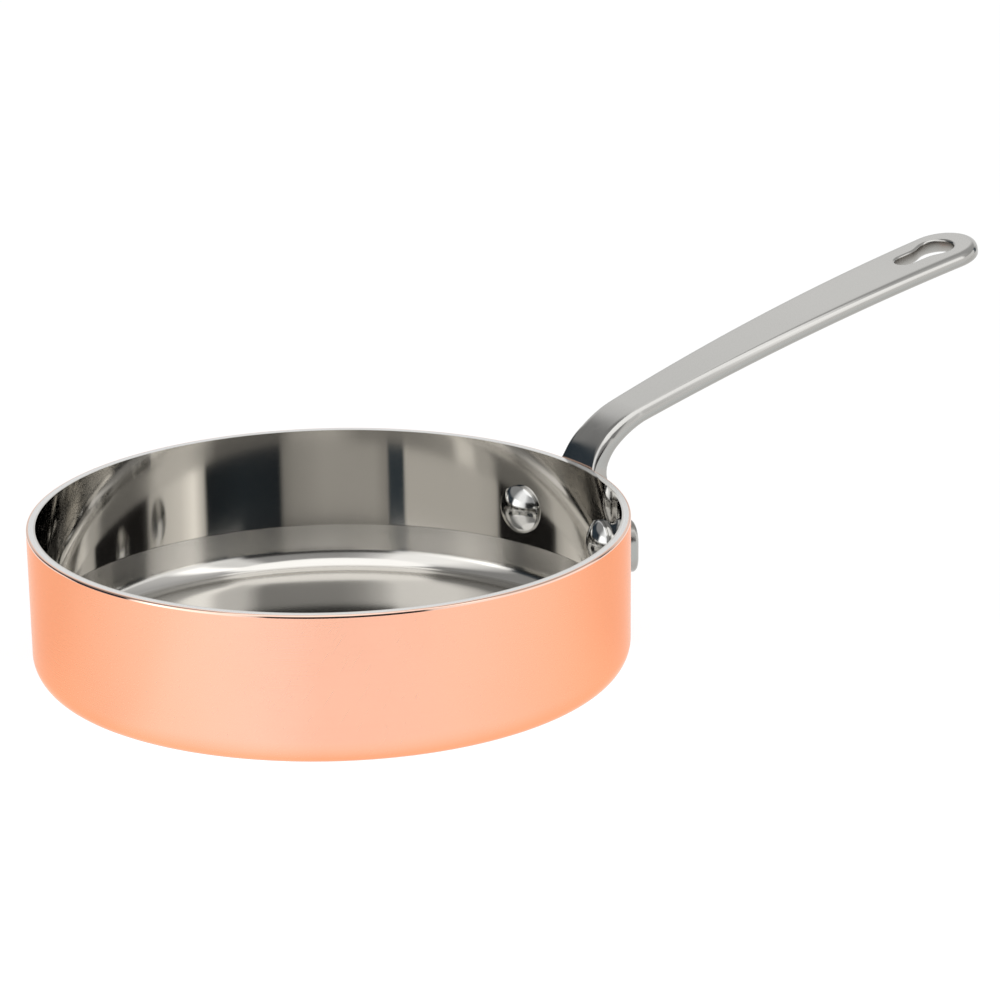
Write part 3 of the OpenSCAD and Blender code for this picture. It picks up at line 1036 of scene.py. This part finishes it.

# %% [markdown]
# Inside, the steel is spun and polished with a fine belt. Its wall is almost a mirror,
# but the lines smear each reflection upright, so the room shows as upright bands. The
# floor is a little duller, from the same belt and from pan scrapers. So is a satin band
# low on the wall, where the belt turns the corner. A thin dark line at its top is painted
# reflection: dark colour in place of a dark reflection. In the shading the wall stands
# upright, and the satin band leans back a little.

# %% Lining steel
LINING_COLOUR = (0.64, 0.622, 0.588, 1)
LINING_LIGHT = (0.67, 0.655, 0.625, 1)
# Painted reflection: a near-black colour for the thin line at the top of the satin band.
PAINTED_REFLECTION_LINE = (0.1, 0.1, 0.09, 1)
FLOOR_TOP = 3 * MM
WALL_START = 7 * MM
WALL_POLISH = -0.035
SATIN_TOP = 12.4 * MM
SATIN_EDGE = 0.4 * MM
SATIN_LEAN = math.radians(9)
SATIN_ROUGH = 0.09
LINING_FINISH = {
    "lines": 7000.0, "breaks": 9.0, "cloud_size": 40.0, "depth": 0.001 * MM, "bump": 0.1,
    "rough": 0.07, "line_rough": 0.02, "cloud_rough": 0.0, "scratch_rough": 0.02, "grain": 0.9,
}


def make_lining():
    """Polished steel, duller on the floor of the pan and low on its wall."""
    material, tree, shader = new_metal("lining_steel")
    place = add_object_place(tree)
    height = add_height(tree, place)
    lines, _, rough = add_marks(tree, turned_lines, LINING_FINISH, place, place)
    wall = add_rise(tree, height, FLOOR_TOP, WALL_START)
    over_satin = add_rise(tree, height, SATIN_TOP, SATIN_TOP + SATIN_EDGE)
    satin = add_math(tree, "MULTIPLY", wall, add_math(tree, "SUBTRACT", 1.0, over_satin))
    # The dark line at the top of the satin band is a painted reflection in the base colour.
    painted_reflection_line = add_math(tree, "PINGPONG", over_satin, 0.5)
    metal = add_mix(tree, lines, LINING_COLOUR, LINING_LIGHT)
    tree.links.new(add_mix(tree, painted_reflection_line, metal, PAINTED_REFLECTION_LINE), shader.inputs["Base Color"])
    rough = add_math(tree, "MULTIPLY_ADD", wall, WALL_POLISH, rough)
    rough = add_math(tree, "MULTIPLY_ADD", satin, SATIN_ROUGH, rough)
    tree.links.new(rough, shader.inputs["Roughness"])
    lay_grain(tree, shader, LINING_FINISH, GRAIN_ACROSS, "Z")
    rise = add_math(tree, "MULTIPLY", wall, -math.sin(WALL_LEAN))
    rise = add_math(tree, "MULTIPLY_ADD", satin, math.sin(SATIN_LEAN), rise)
    add_bump(tree, shader, lines, LINING_FINISH, lean_normals(tree, rise))
    return material


give_metal(make_lining(), lining)

# %% [markdown]
# The aluminium shows only where the rim was trimmed, as a ring of bare metal that nobody
# polishes. It is paler and duller than the steel, with the close lines of the cutter.

# %% Aluminium
ALUMINIUM_COLOUR = (0.74, 0.74, 0.735, 1)
ALUMINIUM_LIGHT = (0.84, 0.84, 0.83, 1)
ALUMINIUM_FINISH = {
    "lines": 9000.0, "breaks": 6.0, "cloud_size": 60.0, "depth": 0.01 * MM, "bump": 0.2,
    "rough": 0.16, "line_rough": 0.1, "cloud_rough": 0.05, "scratch_rough": 0.0,
}


def make_aluminium():
    """The cut edge of the aluminium, with the marks of the rim's trimming."""
    material, tree, shader = new_metal("aluminium")
    place = add_object_place(tree)
    lines, _, rough = add_marks(tree, turned_lines, ALUMINIUM_FINISH, place, place)
    tree.links.new(add_mix(tree, lines, ALUMINIUM_COLOUR, ALUMINIUM_LIGHT), shader.inputs["Base Color"])
    tree.links.new(rough, shader.inputs["Roughness"])
    add_bump(tree, shader, lines, ALUMINIUM_FINISH)
    return material


give_metal(make_aluminium(), core)

# %% [markdown]
# The handle is cast, ground along its length and brushed, so it is duller than the pan.
# Hands keep its edges brighter, and its sides get painted shade, darker than its top.
# The keyhole's wall is darker and rougher. The shares that every point carries tell the
# finish where to change.

# %% Handle steel
HANDLE_COLOUR = (0.5, 0.493, 0.473, 1)
HANDLE_LIGHT = (0.56, 0.553, 0.535, 1)
# Painted shade: a darker colour for the handle's upright sides.
SIDE_SHADE_COLOUR = (0.39, 0.38, 0.36, 1)
HOLE_COLOUR = (0.2, 0.187, 0.168, 1)
HOLE_ROUGH = 0.3
WEAR_POLISH = -0.04
HANDLE_FINISH = {
    "lines": 4500.0, "breaks": 60.0, "cloud_size": 70.0, "depth": 0.01 * MM, "bump": 0.1,
    "rough": 0.09, "line_rough": 0.09, "cloud_rough": 0.03, "scratch_rough": 0.04, "grain": 0.8,
}


def make_handle_steel():
    """Brushed cast steel, brighter at the edges, with painted shade on the sides, darker and rougher in
    the keyhole.
    """
    material, tree, shader = new_metal("handle_steel")
    place = add_attribute(tree, "place", "Vector")
    wear = add_attribute(tree, "wear")
    hole = add_attribute(tree, "in_hole")
    lines, _, rough = add_marks(tree, long_lines, HANDLE_FINISH, place, place)
    bright = add_math(tree, "MULTIPLY", add_math(tree, "ADD", wear, lines), 0.5)
    top = add_mix(tree, bright, HANDLE_COLOUR, HANDLE_LIGHT)
    # Painted shade: the upright sides get a darker colour than the top.
    ground = add_mix(tree, add_attribute(tree, "side"), top, SIDE_SHADE_COLOUR)
    tree.links.new(add_mix(tree, hole, ground, HOLE_COLOUR), shader.inputs["Base Color"])
    rough = add_math(tree, "MULTIPLY_ADD", hole, HOLE_ROUGH, rough)
    rough = add_math(tree, "MULTIPLY_ADD", wear, WEAR_POLISH, rough)
    tree.links.new(rough, shader.inputs["Roughness"])
    lay_grain(tree, shader, HANDLE_FINISH, GRAIN_ALONG, "X")
    add_bump(tree, shader, lines, HANDLE_FINISH)
    return material


give_metal(make_handle_steel(), handle)

# %% [markdown]
# Rivets come polished from the factory, with faint rings from turning. The lines of the
# pan serve again, after each point's place is turned so that the rivet stands upright.

# %% Rivet steel
RIVET_COLOUR = (0.6, 0.6, 0.59, 1)
RIVET_LIGHT = (0.67, 0.67, 0.66, 1)
RIVET_FINISH = {
    "lines": 5000.0, "breaks": 3.0, "cloud_size": 260.0, "depth": 0.004 * MM, "bump": 0.2,
    "rough": 0.07, "line_rough": 0.04, "cloud_rough": 0.05, "scratch_rough": 0.08,
}


def make_rivet_steel():
    """Polished steel with faint rings, which run round the rivet's own length."""
    material, tree, shader = new_metal("rivet_steel")
    place = add_attribute(tree, "place", "Vector")
    upright = add_node(
        tree, "ShaderNodeVectorRotate", {"Vector": place, "Rotation": (0, math.pi / 2, 0)},
        rotation_type="EULER_XYZ",
    )
    rings, _, rough = add_marks(tree, turned_lines, RIVET_FINISH, upright.outputs[0], place)
    tree.links.new(add_mix(tree, rings, RIVET_COLOUR, RIVET_LIGHT), shader.inputs["Base Color"])
    tree.links.new(rough, shader.inputs["Roughness"])
    add_bump(tree, shader, rings, RIVET_FINISH)
    return material


give_metal(make_rivet_steel(), left_rivet, right_rivet)

# %% [markdown]
# The pan stands on a pale sheet that is lit from below and above, so it throws almost no
# shadow. It is the usual way to photograph kitchenware for a catalogue. The sheet is
# brighter on the camera's side, most of all to the left of the camera, and the front of
# the copper shows that. It lies a hair under the base, so that the two don't coincide.
# The Standard view shows every colour as it is, so the sheet stays white.

# %% Floor
FLOOR_LIGHT = (0.94, 0.94, 0.94, 1)
FRONT_LIGHT = (1.03, 1.08, 1.1, 1)
FRONT_REACH = math.radians(70)
FRONT_EDGE = math.radians(31)
LEFT_LIGHT = (1.11, 1.19, 1.27, 1)
LEFT_DIRECTION = math.radians(-151)
LEFT_REACH = math.radians(10)
LEFT_EDGE = math.radians(17)
FLOOR_COLOUR = (0.1, 0.1, 0.1, 1)
FLOOR_SIZE = 8
FLOOR_GAP = 0.1 * MM

bpy.ops.object.select_all(action="DESELECT")
bpy.ops.mesh.primitive_plane_add(size=FLOOR_SIZE, location=(0, 0, -FLOOR_GAP))
floor = bpy.context.object
floor.name = "floor"
floor_material = bpy.data.materials.new("floor")
floor_material.use_nodes = True
floor_tree = floor_material.node_tree
floor_shader = floor_tree.nodes["Principled BSDF"]
floor_shader.inputs["Base Color"].default_value = FLOOR_COLOUR
floor_shader.inputs["Roughness"].default_value = 1
floor_shader.inputs["Specular IOR Level"].default_value = 0
floor_shader.inputs["Emission Strength"].default_value = 1
outward = add_vector_math(floor_tree, "NORMALIZE", add_object_place(floor_tree))
left_axis = Vector((math.cos(LEFT_DIRECTION), math.sin(LEFT_DIRECTION), 0))
front = add_cone(floor_tree, outward, to_camera, FRONT_REACH, FRONT_EDGE)
left = add_cone(floor_tree, outward, left_axis, LEFT_REACH, LEFT_EDGE)
glow = add_mix(floor_tree, front, FLOOR_LIGHT, FRONT_LIGHT)
glow = add_mix(floor_tree, left, glow, LEFT_LIGHT)
floor_tree.links.new(glow, floor_shader.inputs["Emission Color"])
floor.data.materials.append(floor_material)
bpy.context.scene.view_settings.view_transform = "Standard"
